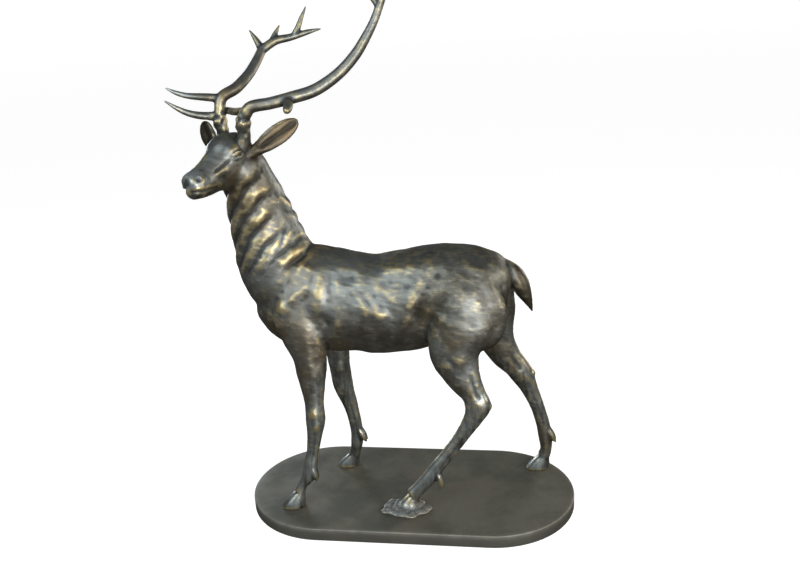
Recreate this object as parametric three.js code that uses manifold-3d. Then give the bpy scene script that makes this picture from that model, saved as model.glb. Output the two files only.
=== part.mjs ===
import * as THREE from 'three';
import { mergeVertices } from 'three/addons/utils/BufferGeometryUtils.js';
import Module from 'manifold-3d';

const wasm = await Module();
wasm.setup();

// Driving sizes, in millimetres and degrees. Forward is -X, the stag's left side is -Y.
const PLATE_LENGTH = 1060;
const PLATE_WIDTH = 524;
const PLATE_THICK = 42;
const SEAT_GAP = 0.3;
const GROUND = PLATE_THICK + SEAT_GAP;
const HEAD_YAW = 62;
const HEAD_PITCH = 11;
const HEAD_AT = [-478, -91, 1173];
const ORBIT_HALF = 58;
const HOOF_HALF_WIDTH = 27;
const HOOF_HALF_LENGTH = 40;
// Each hoof from pastern to sole: share of the drop, share of the lean, half width and half length.
const HOOF_STEPS = [[0, 0, 0.62, 0.46], [0.34, 0.42, 0.8, 0.68], [0.72, 0.78, 0.95, 0.9], [1, 1, 1, 1]];
// Each dewclaw: share of the way from root to tip, and radius.
const DEWCLAW_STEPS = [[0, 5], [0.4, 10], [0.75, 9], [1, 2.5]];
const DEWCLAW_SPREAD = 8;
const HOCK_HALF = [17, 14, 20];
const FOLD_PITCH = 47;
const FOLD_START = 947;
const FOLD_RISE = 48;
const FOLD_DEPTH = 7;
const RIB_DEPTH = 3;
const FLANK_HOLLOW = 9;
const EAR_HOLLOW = 20;
const WELD_AT = [2, -132];
const WELD_HALF = [78, 52, 18];

const rad = THREE.MathUtils.degToRad;
const smooth = THREE.MathUtils.smoothstep;

// Uniform Catmull-Rom through rows of numbers, read at t from 0 to 1.
function along(rows, t) {
  const last = rows.length - 1;
  const f = Math.min(t * last, last - 1e-9);
  const i = Math.floor(f);
  const u = f - i;
  const row = (k) => rows[Math.min(Math.max(k, 0), last)];
  const [a, b, c, d] = [row(i - 1), row(i), row(i + 1), row(i + 2)];
  return b.map((_, k) => {
    const m = (c[k] - a[k]) / 2;
    const n = (d[k] - b[k]) / 2;
    const u2 = u * u;
    const u3 = u2 * u;
    return (2 * u3 - 3 * u2 + 1) * b[k] + (u3 - 2 * u2 + u) * m
      + (3 * u2 - 2 * u3) * c[k] + (u3 - u2) * n;
  });
}

// A closed skin through oval sections: each row is x, y, z, half width, half depth and, where the
// form twists, the yaw of its width axis. A relief function moves each point out along its section.
// Sections stand across the path, or lie flat when level is set.
function loft(rows, { rings, sides, across = [0, 1, 0], relief = null, level = false }) {
  const points = [];
  const centre = new THREE.Vector3();
  const ahead = new THREE.Vector3();
  const behind = new THREE.Vector3();
  for (let i = 0; i <= rings; i += 1) {
    const t = i / rings;
    const row = along(rows, t);
    centre.set(row[0], row[1], row[2]);
    ahead.fromArray(along(rows, Math.min(t + 0.01, 1)));
    behind.fromArray(along(rows, Math.max(t - 0.01, 0)));
    const tangent = level ? new THREE.Vector3(0, 0, -1) : ahead.clone().sub(behind).normalize();
    const yaw = rad(row[5] ?? 0);
    const wide = new THREE.Vector3(...across)
      .applyAxisAngle(new THREE.Vector3(0, 0, 1), yaw);
    wide.addScaledVector(tangent, -wide.dot(tangent)).normalize();
    const deep = new THREE.Vector3().crossVectors(tangent, wide);
    for (let j = 0; j < sides; j += 1) {
      const angle = (j / sides) * Math.PI * 2;
      const dx = Math.cos(angle) * Math.max(row[3], 0.8);
      const dy = Math.sin(angle) * Math.max(row[4], 0.8);
      const out = wide.clone().multiplyScalar(dx).addScaledVector(deep, dy);
      const point = centre.clone().add(out);
      if (relief) point.addScaledVector(out.normalize(), relief(point, angle, t));
      points.push(point);
    }
  }
  const start = points.length;
  points.push(new THREE.Vector3(rows[0][0], rows[0][1], rows[0][2]));
  const end = rows[rows.length - 1];
  points.push(new THREE.Vector3(end[0], end[1], end[2]));
  const faces = [];
  for (let i = 0; i < rings; i += 1) {
    for (let j = 0; j < sides; j += 1) {
      const k = (j + 1) % sides;
      const [a, b, c, d] = [i * sides + j, i * sides + k, (i + 1) * sides + k, (i + 1) * sides + j];
      faces.push(a, b, c, a, c, d);
    }
  }
  for (let j = 0; j < sides; j += 1) {
    const k = (j + 1) % sides;
    faces.push(start, k, j, start + 1, rings * sides + j, rings * sides + k);
  }
  const geometry = new THREE.BufferGeometry().setFromPoints(points);
  geometry.setIndex(faces);
  return solid(geometry);
}

// A closed geometry as a solid, welded at its seams.
function solid(source) {
  const bare = source.clone();
  bare.deleteAttribute('normal');
  bare.deleteAttribute('uv');
  const welded = mergeVertices(bare, 1e-4);
  const faces = [];
  const index = welded.index.array;
  for (let i = 0; i < index.length; i += 3) {
    const [a, b, c] = [index[i], index[i + 1], index[i + 2]];
    if (a !== b && b !== c && c !== a) faces.push(a, b, c);
  }
  return new wasm.Manifold(new wasm.Mesh({
    numProp: 3,
    vertProperties: new Float32Array(welded.attributes.position.array),
    triVerts: new Uint32Array(faces),
  }));
}

// An ellipsoid with its half sizes, turned by yaw about Z and pitch about its own width.
function lump(at, half, { yaw = 0, pitch = 0, sides = 10, rows = 6 } = {}) {
  const ball = new THREE.SphereGeometry(1, sides, rows);
  ball.scale(...half).rotateY(rad(pitch)).rotateZ(rad(yaw)).translate(...at);
  return solid(ball);
}

// A round antler limb through centres with a radius each, closed to a blunt point.
function limb(rows, rings, sides = 8) {
  const first = new THREE.Vector3(...rows[0]);
  const chord = new THREE.Vector3(...rows[rows.length - 1]).sub(first).normalize();
  const lean = Math.abs(chord.z) > 0.8 ? new THREE.Vector3(0, 1, 0) : new THREE.Vector3(0, 0, 1);
  const across = new THREE.Vector3().crossVectors(chord, lean).normalize().toArray();
  return loft(rows.map(([x, y, z, r]) => [x, y, z, r, r]), { rings, sides, across });
}

// The head's own frame: forward along the muzzle, to the stag's left, and up through the crown.
const yaw = rad(HEAD_YAW);
const pitch = rad(HEAD_PITCH);
const level = new THREE.Vector3(-Math.cos(yaw), -Math.sin(yaw), 0);
const toLeft = new THREE.Vector3(-level.y, level.x, 0);
const toNose = level.clone().multiplyScalar(Math.cos(pitch)).add(
  new THREE.Vector3(0, 0, -Math.sin(pitch)));
const toCrown = level.clone().multiplyScalar(Math.sin(pitch)).add(
  new THREE.Vector3(0, 0, Math.cos(pitch)));
function onHead(forward, left, up) {
  return new THREE.Vector3(...HEAD_AT).addScaledVector(toNose, forward)
    .addScaledVector(toLeft, left).addScaledVector(toCrown, up).toArray();
}

// Torso: deep chest, dipped back, tucked belly, rounded croup.
function torso() {
  const rows = [
    [-440, 0, 776, 26, 40], [-416, 0, 770, 66, 90], [-374, 0, 746, 96, 140],
    [-318, 0, 720, 118, 166], [-240, 0, 706, 128, 170], [-150, 0, 698, 130, 159],
    [-60, 0, 690, 132, 158], [30, 0, 704, 128, 160], [110, 0, 729, 122, 149],
    [190, 0, 742, 118, 135], [250, 0, 741, 106, 120], [296, 0, 731, 82, 100],
    [326, 0, 722, 46, 66], [335, 0, 720, 12, 20]];
  const relief = (p, angle) => {
    const flank = Math.abs(Math.cos(angle)) ** 2;
    const rib = smooth(p.x, -230, -170) * (1 - smooth(p.x, 20, 70));
    const wave = Math.sin((p.x + 0.35 * (p.z - 690)) / 33 * Math.PI);
    const hollow = Math.exp(-(((p.x - 60) / 60) ** 2) - (((p.z - 735) / 60) ** 2));
    return RIB_DEPTH * flank * rib * wave - FLANK_HOLLOW * hollow * flank;
  };
  return loft(rows, { rings: 23, sides: 22, relief });
}

// Neck: thick and upright, turning to the stag's left, ringed by slanting folds of mane.
function neck() {
  const rows = [
    [-318, 0, 700, 92, 104, 0], [-360, 0, 775, 108, 124, 4], [-388, -4, 850, 100, 121, 10],
    [-404, -10, 930, 88, 107, 16], [-418, -22, 1010, 78, 94, 25], [-431, -40, 1085, 70, 80, 37],
    [-441, -60, 1150, 62, 68, 48], [-446, -72, 1195, 40, 44, 55]];
  const rise = rad(FOLD_RISE);
  const relief = (p, angle, t) => {
    const run = p.z * Math.cos(rise) - (p.x + 0.5 * Math.abs(p.y)) * Math.sin(rise);
    const wave = -Math.cos((run - FOLD_START) / FOLD_PITCH * Math.PI * 2);
    const shown = smooth(t, 0.2, 0.34) * (1 - smooth(t, 0.72, 0.86));
    return FOLD_DEPTH * shown * wave;
  };
  return loft(rows, { rings: 26, sides: 26, relief });
}

// Skull, brow ridges, eyes, nostrils and mouth line.
function head() {
  const run = [
    [-92, 0, 24, 30], [-70, -3, 54, 62], [-34, -12, 65, 80], [0, -19, 62, 81], [34, -25, 51, 69],
    [68, -30, 42, 57], [100, -33, 38, 48], [126, -34, 39, 46], [145, -35, 36, 42],
    [156, -36, 27, 32], [160, -36, 10, 13]];
  const rows = run.map(([f, u, w, d]) => [...onHead(f, 0, u), w, d]);
  const local = new THREE.Vector3();
  const relief = (p) => {
    local.copy(p).sub(new THREE.Vector3(...HEAD_AT));
    const [f, l, u] = [local.dot(toNose), Math.abs(local.dot(toLeft)), local.dot(toCrown)];
    const bump = (f0, l0, u0, rf, rl, ru) => Math.exp(
      -(((f - f0) / rf) ** 2) - (((l - l0) / rl) ** 2) - (((u - u0) / ru) ** 2));
    return 12 * bump(2, 52, 28, 24, 20, 13) - 7 * bump(42, 46, -2, 22, 18, 9)
      + 8 * bump(-34, 50, -40, 30, 26, 26) + 7 * bump(138, 26, -14, 15, 16, 14)
      - 5 * bump(84, 36, -24, 20, 20, 14);
  };
  let form = loft(rows, { rings: 19, sides: 20, across: toLeft.toArray(), relief });
  for (const side of [-1, 1]) {
    const turn = HEAD_YAW;
    form = form
      .add(lump(onHead(4, side * ORBIT_HALF, 13), [13, 9, 9], { yaw: turn, sides: 8, rows: 6 }))
      .subtract(lump(onHead(150, side * 26, -15), [11, 7, 7], { yaw: turn, sides: 8, rows: 5 }));
  }
  const mouth = [[88, -58], [114, -55], [140, -54], [166, -54]].map(([f, u]) => {
    return [...onHead(f, 0, u), 60, 3];
  });
  return form.subtract(loft(mouth, { rings: 4, sides: 6, across: toLeft.toArray() }));
}

// One ear: a leaf with its inner face hollowed.
function ear(base, tip, half, face) {
  const a = new THREE.Vector3(...base);
  const b = new THREE.Vector3(...tip);
  const sizes = [[-0.24, 0.4, 9], [0, 0.58, 12], [0.18, 0.76, 14], [0.36, 0.97, 14],
    [0.6, 1.04, 12], [0.82, 0.84, 9], [0.95, 0.48, 6], [1, 0.12, 2]];
  const rows = sizes.map(([t, w, d]) => [...a.clone().lerp(b, t).toArray(), half * w, d]);
  const reach = b.clone().sub(a).normalize();
  const across = new THREE.Vector3().crossVectors(new THREE.Vector3(...face), reach).normalize();
  const deep = new THREE.Vector3().crossVectors(reach, across);
  const facing = Math.sign(deep.dot(new THREE.Vector3(...face)));
  const relief = (p, angle, t) => {
    const inner = Math.max(0, facing * Math.sin(angle)) ** 2;
    return -EAR_HOLLOW * smooth(t, 0.22, 0.46) * (1 - smooth(t, 0.8, 1)) * inner;
  };
  return loft(rows, { rings: 8, sides: 12, across: across.toArray(), relief });
}

// Antlers: a burr, a beam, tines off the beam and a forked crown.
function antlers() {
  const rightBeam = [
    [-496, -41, 1197, 22], [-494, -43, 1241, 18], [-496, -47, 1263, 21], [-493, -52, 1289, 17],
    [-485, -45, 1339, 17], [-451, -8, 1362, 17], [-428, 45, 1393, 16], [-414, 90, 1426, 15],
    [-402, 125, 1460, 14]];
  const rightTines = [
    [[-496, -52, 1290, 13], [-534, -66, 1292, 12], [-569, -88, 1303, 10], [-596, -106, 1320, 7.5],
      [-628, -122, 1346, 2.5]],
    [[-483, -45, 1338, 13], [-530, -58, 1345, 11.5], [-574, -74, 1352, 9], [-604, -86, 1363, 7],
      [-632, -94, 1379, 2.5]],
    [[-401, 123, 1456, 13], [-421, 135, 1487, 9], [-442, 142, 1517, 2.5]],
    [[-402, 123, 1458, 14], [-365, 145, 1481, 13], [-320, 165, 1489, 11], [-270, 180, 1501, 8],
      [-231, 190, 1508, 2.5]],
    [[-377, 140, 1474, 11], [-365, 152, 1501, 8], [-351, 160, 1526, 2.5]],
    [[-314, 166, 1488, 10], [-298, 175, 1517, 9], [-288, 182, 1542, 7], [-272, 190, 1576, 2.5]]];
  const leftBeam = [
    [-438, -80, 1165, 26], [-421, -86, 1203, 22], [-412, -95, 1246, 20], [-410, -100, 1267, 23],
    [-404, -102, 1289, 19],
    [-380, -103, 1317, 18], [-326, -95, 1325, 17.5], [-270, -82, 1336, 18], [-202, -58, 1353, 18],
    [-138, -33, 1392, 17], [-89, -12, 1441, 16], [-54, 2, 1493, 14], [-30, 12, 1537, 12.5],
    [-11, 20, 1584, 12], [8, 26, 1631, 11]];
  const leftTines = [
    [[-381, -102, 1312, 13], [-431, -70, 1302, 11.5], [-485, -20, 1301, 10], [-533, 22, 1309, 3]],
    [[-276, -84, 1331, 15], [-269, -112, 1318, 14], [-267, -134, 1310, 12], [-265, -146, 1306, 6]],
    [[-17, 18, 1567, 11], [-41, 20, 1602, 9], [-64, 20, 1640, 2.5]],
    [[4, 25, 1619, 11], [-8, 32, 1664, 8], [-9, 36, 1705, 2.5]],
    [[4, 26, 1622, 11], [39, 34, 1656, 9], [68, 40, 1701, 2.5]]];
  let form = limb(rightBeam, 14, 8).add(limb(leftBeam, 20, 8));
  for (const tine of [...rightTines, ...leftTines]) form = form.add(limb(tine, tine.length, 6));
  return form;
}

// One leg down its own line, with a hoof that flares to its sole and two dewclaws behind.
function leg(rows, rings, { sole, heading, dewclaw }) {
  const ankle = rows[rows.length - 1];
  const foot = [...sole, GROUND];
  const hoof = HOOF_STEPS.map(([drop, lean, wide, long]) => {
    const at = [lean, lean, drop].map((share, k) => ankle[k] + (foot[k] - ankle[k]) * share);
    return [...at, wide * HOOF_HALF_WIDTH, long * HOOF_HALF_LENGTH, heading];
  });
  let form = loft(rows, { rings, sides: 10 }).add(loft(hoof, { rings: 4, sides: 12, level: true }));
  const [root, tip] = dewclaw;
  for (const way of [-1, 1]) {
    const thorn = DEWCLAW_STEPS.map(([share, radius]) => {
      const at = root.map((from, k) => from + (tip[k] - from) * share);
      return [at[0], at[1] + way * DEWCLAW_SPREAD, at[2], radius];
    });
    form = form.add(limb(thorn, 3, 5));
  }
  return form;
}

function legs() {
  const nearFore = [
    [-250, -64, 832, 28, 44], [-284, -80, 745, 42, 78], [-298, -89, 680, 46, 82],
    [-290, -96, 615, 46, 72],
    [-279, -99, 555, 43, 56], [-276, -102, 501, 37, 48], [-275, -106, 448, 31, 38],
    [-274, -110, 395, 27, 30], [-274, -114, 341, 27, 31], [-281, -118, 286, 20, 24],
    [-291, -121, 231, 17, 20], [-299, -125, 194, 19, 22], [-308, -128, 152, 20, 22],
    [-329, -131, 120, 15, 15], [-342, -134, 94, 17, 18]];
  const farFore = [
    [-244, 64, 832, 28, 44], [-272, 80, 745, 42, 76], [-280, 89, 680, 46, 80],
    [-262, 95, 600, 44, 66],
    [-240, 93, 511, 38, 43], [-234, 95, 430, 31, 35], [-228, 99, 360, 27, 33],
    [-211, 105, 290, 20, 25], [-201, 110, 227, 18, 22], [-198, 115, 182, 18, 21],
    [-201, 119, 144, 19, 21], [-207, 123, 114, 17, 19], [-214, 127, 92, 18, 20]];
  const nearHind = [
    [224, -58, 830, 26, 58], [216, -79, 745, 46, 104], [208, -92, 668, 53, 120],
    [184, -98, 622, 51, 98], [173, -102, 590, 47, 85], [174, -105, 558, 43, 78],
    [182, -110, 530, 37, 68],
    [200, -114, 488, 31, 53], [226, -116, 440, 25, 38], [237, -118, 404, 25, 40],
    [222, -120, 362, 22, 29], [187, -122, 305, 18, 22], [153, -123, 254, 18, 21],
    [115, -124, 204, 18, 21], [77, -126, 152, 20, 23], [45, -128, 116, 18, 22],
    [27, -129, 94, 19, 25]];
  const farHind = [
    [232, 58, 830, 26, 54], [238, 80, 735, 46, 96], [252, 93, 640, 52, 96],
    [274, 96, 560, 43, 68], [296, 99, 508, 36, 53], [318, 102, 470, 31, 46],
    [346, 107, 436, 27, 40], [366, 112, 402, 26, 38], [387, 117, 354, 22, 28],
    [410, 122, 294, 19, 23], [427, 128, 234, 18, 22], [438, 134, 172, 21, 23],
    [440, 142, 122, 18, 19], [433, 147, 94, 18, 21]];
  const hocks = [[264, -118, 404], [391, 112, 409]];
  const feet = [
    { sole: [-365, -138], heading: 14, dewclaw: [[-299, -125, 205], [-281, -128, 133]] },
    { sole: [-240, 132], heading: 14, dewclaw: [[-198, 113, 212], [-165, 115, 147]] },
    { sole: [7, -131], heading: 6, dewclaw: [[104, -125, 190], [122, -126, 127]] },
    { sole: [412, 152], heading: 10, dewclaw: [[434, 131, 222], [473, 134, 153]] }];
  return leg(nearFore, 18, feet[0]).add(leg(farFore, 16, feet[1]))
    .add(leg(nearHind, 20, feet[2])).add(leg(farHind, 17, feet[3]))
    .add(lump(hocks[0], HOCK_HALF, { sides: 8 })).add(lump(hocks[1], HOCK_HALF, { sides: 8 }));
}

// Tail: a short leaf lying over the rump.
function tail() {
  const rows = [[306, 0, 806, 20, 30], [336, 0, 790, 26, 31], [356, 0, 770, 29, 28],
    [374, 0, 733, 26, 23], [389, 0, 698, 17, 14], [401, 0, 664, 3, 3]];
  return loft(rows, { rings: 7, sides: 12 });
}

// The ragged weld run round the near hind hoof.
function weld() {
  const mound = new THREE.SphereGeometry(1, 18, 6);
  const place = mound.attributes.position;
  for (let i = 0; i < place.count; i += 1) {
    const [x, y, z] = [place.getX(i), place.getY(i), place.getZ(i)];
    const lumpy = 1 + 0.07 * Math.sin(5 * Math.atan2(y, x) + 2) + 0.05 * Math.sin(9 * Math.atan2(y, x));
    place.setXYZ(i, WELD_HALF[0] * x * lumpy, WELD_HALF[1] * y * lumpy, WELD_HALF[2] * z);
  }
  mound.translate(...WELD_AT, PLATE_THICK + 2);
  return solid(mound).trimByPlane([0, 0, 1], GROUND);
}

function mesh(name, form, material) {
  const result = form.getMesh();
  const geometry = new THREE.BufferGeometry();
  geometry.setAttribute('position', new THREE.BufferAttribute(result.vertProperties, 3));
  geometry.setIndex(new THREE.BufferAttribute(result.triVerts, 1));
  const item = new THREE.Mesh(geometry.toNonIndexed(), material);
  item.geometry.computeVertexNormals();
  item.name = name;
  return item;
}

function basePlate() {
  const r = PLATE_WIDTH / 2;
  const reach = PLATE_LENGTH / 2 - r;
  const outline = new THREE.Shape();
  outline.absarc(reach, 0, r, -Math.PI / 2, Math.PI / 2, false);
  outline.absarc(-reach, 0, r, Math.PI / 2, Math.PI * 1.5, false);
  outline.closePath();
  return solid(new THREE.ExtrudeGeometry(outline, {
    depth: PLATE_THICK, bevelEnabled: false, curveSegments: 24 }));
}

const patina = new THREE.MeshStandardMaterial({ color: 0x4a4436, metalness: 0.85, roughness: 0.45 });
const plateMetal = new THREE.MeshStandardMaterial({ color: 0x46433c, metalness: 0.8, roughness: 0.6 });

const stagForm = torso().add(neck()).add(head()).add(antlers()).add(legs()).add(tail()).add(weld())
  .add(ear([-394, -86, 1186], [-264, -40, 1268], 29, [0.3, -0.9, 0.1]))
  .add(ear([-524, -50, 1192], [-570, -2, 1266], 28, [-0.35, -0.9, 0.1]))
  .trimByPlane([0, 0, 1], GROUND);

const group = new THREE.Group();
group.add(mesh('stag', stagForm, patina));
group.add(mesh('base_plate', basePlate(), plateMetal));

export default group;
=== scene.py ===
import bpy
import numpy as np
from mathutils import Matrix


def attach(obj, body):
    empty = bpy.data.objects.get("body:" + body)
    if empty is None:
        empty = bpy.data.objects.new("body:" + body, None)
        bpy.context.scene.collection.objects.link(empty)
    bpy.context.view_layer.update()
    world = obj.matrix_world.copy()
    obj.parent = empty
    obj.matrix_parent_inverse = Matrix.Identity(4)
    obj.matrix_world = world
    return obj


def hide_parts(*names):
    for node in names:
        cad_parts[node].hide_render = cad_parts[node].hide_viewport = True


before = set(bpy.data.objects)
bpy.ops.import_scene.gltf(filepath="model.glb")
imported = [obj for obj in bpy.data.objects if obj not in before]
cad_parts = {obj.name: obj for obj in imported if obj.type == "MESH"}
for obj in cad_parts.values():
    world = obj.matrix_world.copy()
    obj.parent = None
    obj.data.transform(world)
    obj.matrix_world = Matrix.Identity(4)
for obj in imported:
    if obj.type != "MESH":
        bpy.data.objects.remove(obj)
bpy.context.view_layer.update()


# Base plate: a flat bronze slab with straight sides and half-round ends, sand cast and left matt.
# The stag is welded to its top. Its edges are knocked back a little by handling; their lighter tone is
# that wear and also a painted highlight, and the darker tone of the vertical side is painted shade.
PLATE = dict(length=1.060, width=0.524, thick=0.042, edge=0.0035, arris=0.006,
             wave=0.00025, sink=0.0002)
# The side tone is painted shade on the plate's vertical side; the arris tone is edge wear and a painted
# highlight.
PLATE_TONES = dict(
    dark=(0.062, 0.061, 0.046, 1), light=(0.114, 0.109, 0.083, 1), brown=(0.105, 0.088, 0.062, 1),
    speck=(0.125, 0.122, 0.105, 1), side=(0.024, 0.021, 0.016, 1), arris=(0.26, 0.245, 0.205, 1))


def lattice_noise(points, size, seed):
    """Smooth noise from -1 to 1: each corner of a cubic lattice of the given size gets a hashed
    value, and the eight corners round a point are blended with a smooth step in each axis."""
    q = np.asarray(points, float) / size + 1000.0
    cell = np.floor(q).astype(np.int64)
    f = q - cell
    f = f * f * (3.0 - 2.0 * f)
    total = np.zeros(len(q))
    for corner in range(8):
        step = np.array([corner & 1, corner >> 1 & 1, corner >> 2 & 1])
        c = (cell + step).astype(np.uint32)
        h = c[:, 0] * np.uint32(73856093) ^ c[:, 1] * np.uint32(19349663)
        h = h ^ c[:, 2] * np.uint32(83492791) ^ np.uint32(seed * 2654435 + 12345)
        h = (h ^ (h >> np.uint32(13))) * np.uint32(1274126177)
        h = h ^ (h >> np.uint32(16))
        value = (h & np.uint32(65535)).astype(float) / 32767.5 - 1.0
        total += value * np.prod(np.where(step == 1, f, 1.0 - f), axis=1)
    return total


def mesh_object(name, points, faces):
    """A mesh object from an array of points and an array of faces with three or four corners."""
    mesh = bpy.data.meshes.new(name)
    corners = faces.shape[1]
    mesh.vertices.add(len(points))
    mesh.vertices.foreach_set("co", np.ascontiguousarray(points, np.float32).ravel())
    mesh.loops.add(faces.size)
    mesh.loops.foreach_set("vertex_index", np.ascontiguousarray(faces, np.int32).ravel())
    mesh.polygons.add(len(faces))
    mesh.polygons.foreach_set("loop_start", np.arange(0, faces.size, corners, dtype=np.int32))
    mesh.update(calc_edges=True)
    mesh.validate()
    mesh.polygons.foreach_set("use_smooth", np.ones(len(mesh.polygons), bool))
    item = bpy.data.objects.new(name, mesh)
    bpy.context.scene.collection.objects.link(item)
    return item


def grid_faces(rows, columns):
    """Quads of a grid whose columns close on themselves, numbered row by row."""
    i, j = np.meshgrid(np.arange(rows - 1), np.arange(columns), indexing="ij")
    k = (j + 1) % columns
    quads = [i * columns + j, i * columns + k, (i + 1) * columns + k, (i + 1) * columns + j]
    return np.stack(quads, -1).reshape(-1, 4)


def point_values(item, name, values):
    """Keeps one number for each vertex as an attribute that the piece's material reads."""
    layer = item.data.attributes.new(name, "FLOAT", "POINT")
    layer.data.foreach_set("value", np.asarray(values, np.float32))


def plate_skin(around, flat_rings):
    """Carries an edge profile round a stadium: a point at angle a and inset d lies d inside the
    outline along its normal, and the profile runs from the middle of the underside over the
    rounded edges to the middle of the top, which waves by a few tenths of a millimetre."""
    r = PLATE["width"] / 2
    reach = PLATE["length"] / 2 - r
    e, t = PLATE["edge"], PLATE["thick"]
    quarter = np.linspace(0, np.pi / 2, 5)
    flat = np.linspace(1, 0, flat_rings)[:, None] ** 1.5
    inset = np.concatenate([e + (r - e) * flat[:, 0], (e - e * np.sin(quarter))[1:], [0.0, 0.0],
                            e - e * np.cos(quarter), e + (r - e) * flat[::-1, 0][1:]])
    rise = np.concatenate([np.zeros(flat_rings), (e - e * np.cos(quarter))[1:],
                           [t * 0.35, t * 0.65], t - e + e * np.sin(quarter),
                           np.full(flat_rings - 1, t)])
    side = np.linspace(-0.5, 0.5, around // 4 + 1)
    bow = np.linspace(-np.pi / 2, np.pi / 2, around // 4 + 1)
    ax = np.concatenate([np.full_like(bow, reach), -2 * reach * side[1:-1],
                         np.full_like(bow, -reach), 2 * reach * side[1:-1]])
    angle = np.concatenate([bow, np.full(len(side) - 2, np.pi / 2), bow + np.pi,
                            np.full(len(side) - 2, -np.pi / 2)])
    x = ax[None] + (r - inset)[:, None] * np.cos(angle)[None]
    y = (r - inset)[:, None] * np.sin(angle)[None]
    z = np.repeat(rise[:, None], len(ax), 1)
    points = np.stack([x, y, z], -1).reshape(-1, 3)
    top = points[:, 2] > t - 1e-6
    points[:, 2] += np.where(top, PLATE["wave"] * lattice_noise(points, 0.05, 3) - PLATE["sink"], 0.0)
    return points, grid_faces(len(rise), len(ax)), np.repeat(inset, len(ax))


plate_points, plate_faces, plate_inset = plate_skin(240, 16)
plate = mesh_object("base_plate_casting", plate_points, plate_faces)
# Lighter rounded edges, for wear and as a painted highlight; the vertical side is marked for its painted
# shade.
from_edge = np.hypot(plate_inset, PLATE["thick"] - plate_points[:, 2])
arris = np.exp(-from_edge / PLATE["arris"]) * (0.7 + 0.3 * lattice_noise(plate_points, 0.018, 8))
point_values(plate, "worn", np.clip(arris, 0, 1))
point_values(plate, "side", plate_inset < 1e-6)


class Shade:
    """A socket of a material or of the sky, with arithmetic that adds Math nodes to its node tree."""

    def __init__(self, tree, socket):
        self.tree, self.socket = tree, socket

    def node(self, kind, settings=None, out=0, **sockets):
        """A new node: its settings are set first, then its sockets get values or links. A socket goes
        by its label, or by its number after an s."""
        made = self.tree.nodes.new(kind)
        for key, value in (settings or {}).items():
            setattr(made, key, value)
        for key, value in sockets.items():
            socket = made.inputs[int(key[1:]) if key[1:].isdigit() else key]
            if isinstance(value, Shade):
                self.tree.links.new(value.socket, socket)
            else:
                socket.default_value = value
        return Shade(self.tree, made.outputs[out])

    def maths(self, operation, a, b):
        """A Math node on two values."""
        return self.node("ShaderNodeMath", dict(operation=operation), s0=a, s1=b)

    def __add__(self, other):
        return self.maths("ADD", self, other)

    def __radd__(self, other):
        return self.maths("ADD", other, self)

    def __sub__(self, other):
        return self.maths("SUBTRACT", self, other)

    def __rsub__(self, other):
        return self.maths("SUBTRACT", other, self)

    def __mul__(self, other):
        return self.maths("MULTIPLY", self, other)

    def __rmul__(self, other):
        return self.maths("MULTIPLY", other, self)

    def kept(self, name):
        """The number that the mesh keeps on each vertex under a name."""
        return self.node("ShaderNodeAttribute", dict(attribute_name=name), out=2)

    def feeds(self, shader, label):
        """Links this value to a socket of the piece's shader."""
        self.tree.links.new(self.socket, shader.inputs[label])

    def between(self, low, high):
        """0 below low, 1 above high, and a smooth rise between them."""
        return self.node("ShaderNodeMapRange", dict(interpolation_type="SMOOTHSTEP"),
                         s0=self, s1=low, s2=high, s3=0.0, s4=1.0)

    def over(self, under, colour):
        """This mask lays a colour over another."""
        return self.node("ShaderNodeMix", dict(data_type="RGBA"), out=2, s0=self, s6=under, s7=colour)


def new_finish(name):
    """An empty material, its shader and a Shade that starts its node expressions."""
    finish = bpy.data.materials.new(name)
    finish.use_nodes = True
    tree = finish.node_tree
    shader = tree.nodes["Principled BSDF"]
    place = tree.nodes.new("ShaderNodeTexCoord")
    return finish, shader, Shade(tree, place.outputs["Object"])


def grain(place, scale, detail=4.0, rough=0.55, stretch=(1, 1, 1), turn=(0, 0, 0)):
    """Noise on object coordinates, drawn out along an axis for brushed or combed marks."""
    mapped = place.node("ShaderNodeMapping", s0=place, s2=turn, s3=stretch)
    return place.node("ShaderNodeTexNoise", s0=mapped, Scale=scale, Detail=detail, Roughness=rough)


plate_finish, shader, place = new_finish("plate_bronze_matt")
cloud = grain(place, 7.0, 6.0).between(0.35, 0.68)
brown = grain(place, 13.0, 5.0).between(0.5, 0.7)
speck = grain(place, 160.0, 3.0).between(0.52, 0.72)
tone = cloud.over(PLATE_TONES["dark"], PLATE_TONES["light"])
tone = (brown * 0.5).over(tone, PLATE_TONES["brown"])
tone = (speck * 0.35).over(tone, PLATE_TONES["speck"])
# Painted shade on the vertical side, then wear and a painted highlight on the rounded edges.
tone = (place.kept("side") * 0.72).over(tone, PLATE_TONES["side"])
tone = (place.kept("worn") * 0.55).over(tone, PLATE_TONES["arris"])
tone.feeds(shader, "Base Color")
(0.66 - 0.12 * cloud).feeds(shader, "Roughness")
shader.inputs["Metallic"].default_value = 0.35
dents = place.node("ShaderNodeBump", s0=0.25, s1=0.002, Height=grain(place, 90.0, 5.0))
dents.feeds(shader, "Normal")
plate.data.materials.append(plate_finish)
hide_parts("base_plate")
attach(plate, "root")


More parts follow.
